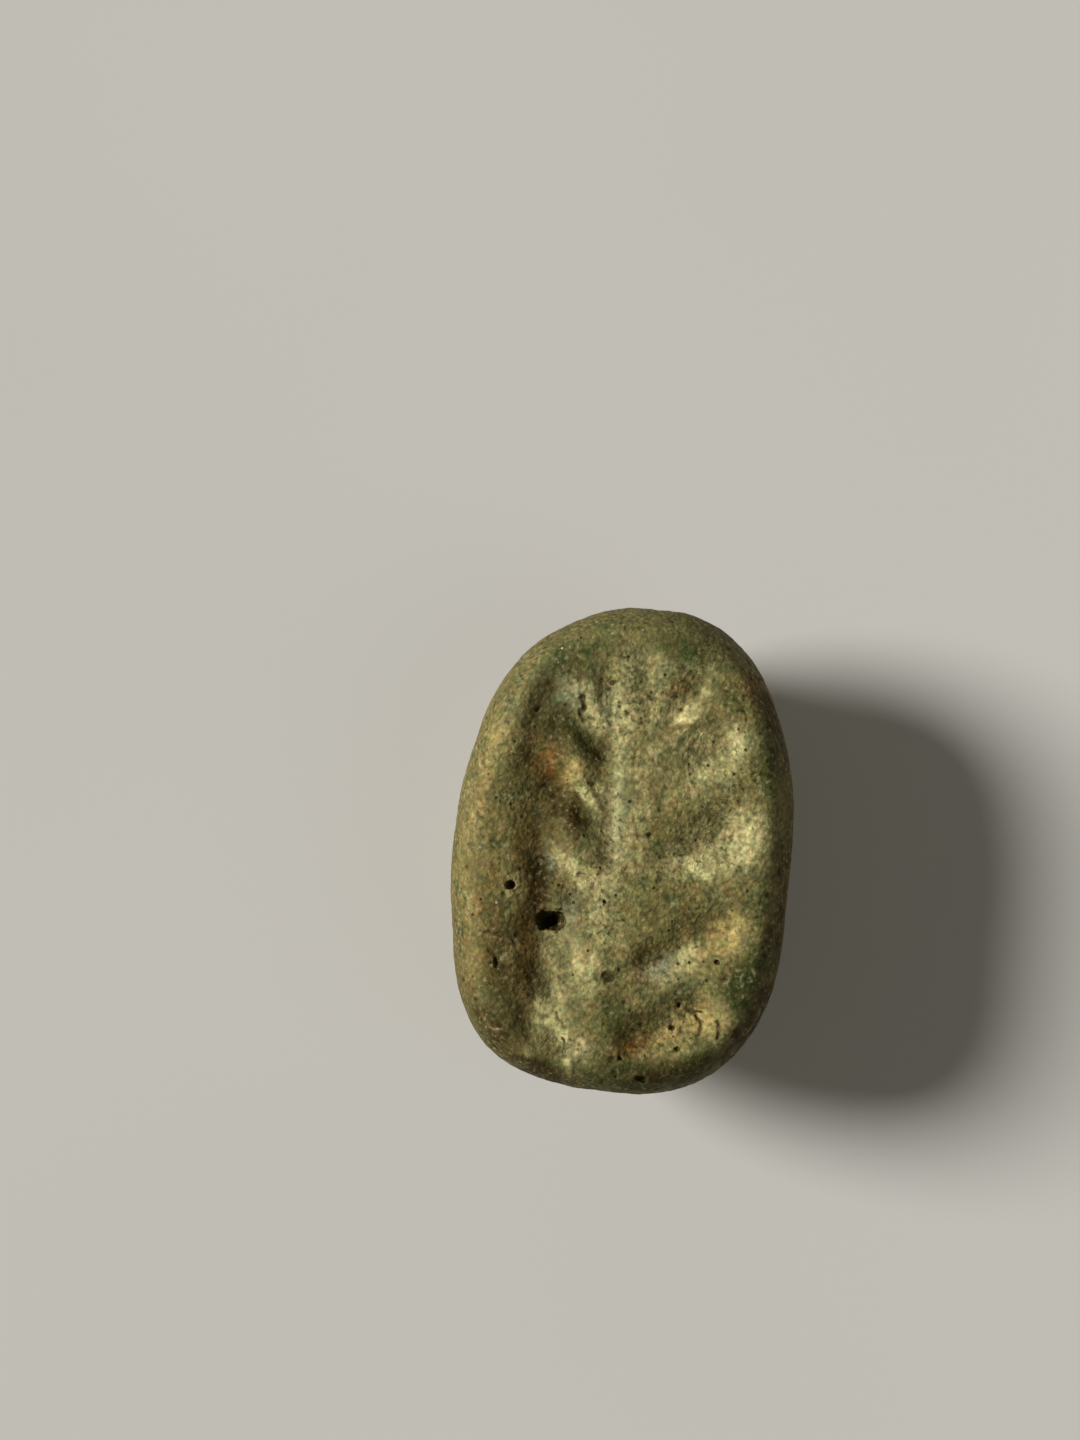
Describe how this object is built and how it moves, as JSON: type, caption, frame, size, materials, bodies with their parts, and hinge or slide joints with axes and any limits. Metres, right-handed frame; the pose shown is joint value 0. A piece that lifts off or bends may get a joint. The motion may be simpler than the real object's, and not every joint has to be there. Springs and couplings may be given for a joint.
{
  "type": "scarab seal",
  "caption": "Small worn scarab seal of moulded glazed composition: beetle back, legs in low relief, lengthwise bore, sealing face with a sunk palm frond.",
  "frame": {"origin": "on the surface the seal lies on, under the middle of its plan", "axes": "+Z out of the sealing face, +Y lengthwise towards the beetle's head, +X across"},
  "size_m": [0.0114, 0.0162, 0.0076],
  "materials": {
    "glazed_composition": "worn olive-buff glaze with green patches, rust in the grooves and open pinholes"
  },
  "bodies": {
    "root": {"scarab_seal": "glazed_composition"}
  },
  "joints": []
}
